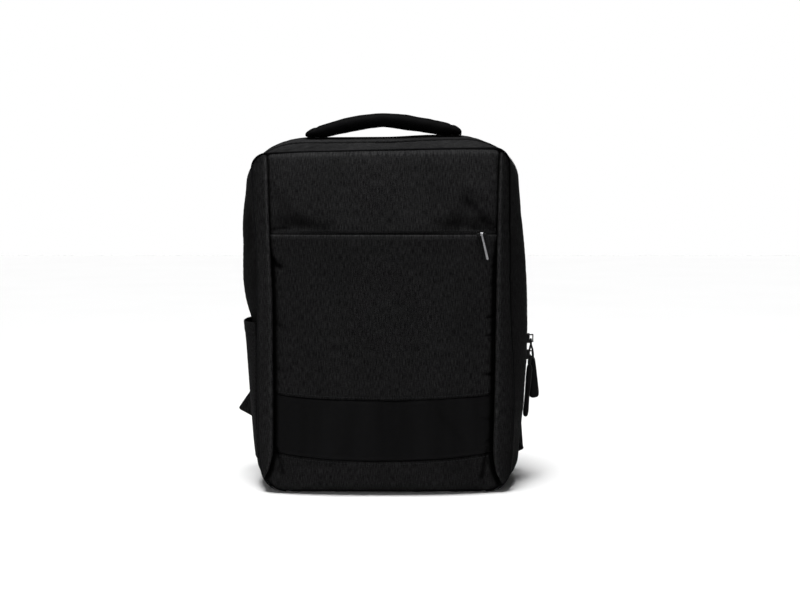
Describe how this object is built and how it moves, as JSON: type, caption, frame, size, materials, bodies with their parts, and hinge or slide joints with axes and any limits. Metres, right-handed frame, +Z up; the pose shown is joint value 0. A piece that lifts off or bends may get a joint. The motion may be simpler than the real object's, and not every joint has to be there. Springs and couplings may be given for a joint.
{
  "type": "laptop backpack",
  "caption": "Soft upright backpack with a zipped main compartment, a front pocket, a side pocket, a padded top handle and two shoulder straps with ladder locks.",
  "frame": {"origin": "middle of the base, on its underside, where the standing bag rests", "axes": "+Z up, +Y towards the straps on the back, the front pocket faces -Y, +X to the right as the front is seen"},
  "size_m": [0.3522, 0.1771, 0.4232],
  "materials": {
    "heather_cloth": "matt woven cloth with a fine upright fleck",
    "smooth_cloth": "smooth close weave with a soft sheen",
    "stretch_cloth": "matt knitted stretch cloth",
    "back_mesh": "matt padded spacer mesh",
    "zip_tape": "ribbed zip tape with moulded teeth",
    "webbing": "ribbed woven webbing",
    "buckle_plastic": "fine-grained moulded plastic",
    "slider_metal": "satin black paint",
    "pull_metal": "satin grey",
    "cord": "braided cord",
    "pull_rubber": "matt moulded rubber"
  },
  "bodies": {
    "bag": {"front_lower_panel": "heather_cloth", "front_band": "smooth_cloth", "front_pocket_panel": "heather_cloth", "front_upper_panel": "heather_cloth", "wing_left": "heather_cloth", "wing_right": "heather_cloth", "edge_piping": "smooth_cloth", "pocket_zip": "zip_tape", "front_gusset": "heather_cloth", "rear_gusset": "heather_cloth", "main_zip": "zip_tape", "base_panel": "heather_cloth", "back_panel": "back_mesh", "side_pocket": "stretch_cloth", "top_handle": "smooth_cloth", "shoulder_strap_left": "heather_cloth", "strap_loop_left": "webbing", "ladder_lock_left": "buckle_plastic", "strap_webbing_left": "webbing", "strap_tab_left": "heather_cloth", "shoulder_strap_right": "heather_cloth", "strap_loop_right": "webbing", "ladder_lock_right": "buckle_plastic", "strap_webbing_right": "webbing", "strap_tab_right": "heather_cloth", "pocket_slider": "slider_metal", "zip_slider_upper": "slider_metal", "pull_cord_upper": "cord", "pull_tab_upper": "pull_rubber", "zip_slider_lower": "slider_metal", "pull_cord_lower": "cord", "pull_tab_lower": "pull_rubber"},
    "pull": {"pocket_pull": "pull_metal"}
  },
  "joints": [
    {"name": "pull_hinge", "type": "hinge", "parent": "bag", "child": "pull", "pos_m": [0.1045, -0.06327, 0.2855], "axis": [-1, 0, 0], "range_deg": [0, 165]}
  ]
}
